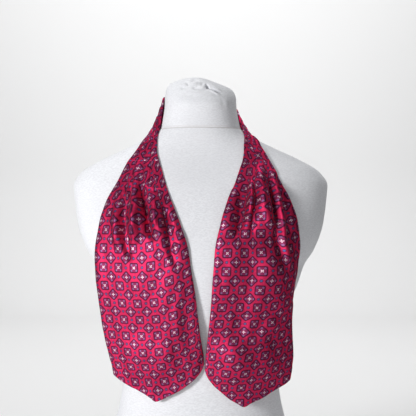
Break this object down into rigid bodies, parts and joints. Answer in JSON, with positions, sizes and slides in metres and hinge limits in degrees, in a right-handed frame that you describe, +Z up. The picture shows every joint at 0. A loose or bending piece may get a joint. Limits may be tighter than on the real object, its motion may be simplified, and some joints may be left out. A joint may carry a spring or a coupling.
{
  "type": "silk cravat on a dress form",
  "caption": "Silk cravat with a pleated neckband and wide pointed blades, hanging untied round the neck of a limbless dress form that stands on a flat base.",
  "frame": {"origin": "centre of the dress form's flat underside, on the surface it stands on", "axes": "+Z up along the height, -Y out of the front of the form, +X to the right of someone facing the front"},
  "size_m": [0.41, 0.2274, 0.68],
  "materials": {
    "silk": "lustrous printed silk twill",
    "jersey": "matte white knit"
  },
  "bodies": {
    "root": {"blade_left": "silk", "blade_right": "silk", "neckband": "silk", "dress_form": "jersey"}
  },
  "joints": []
}
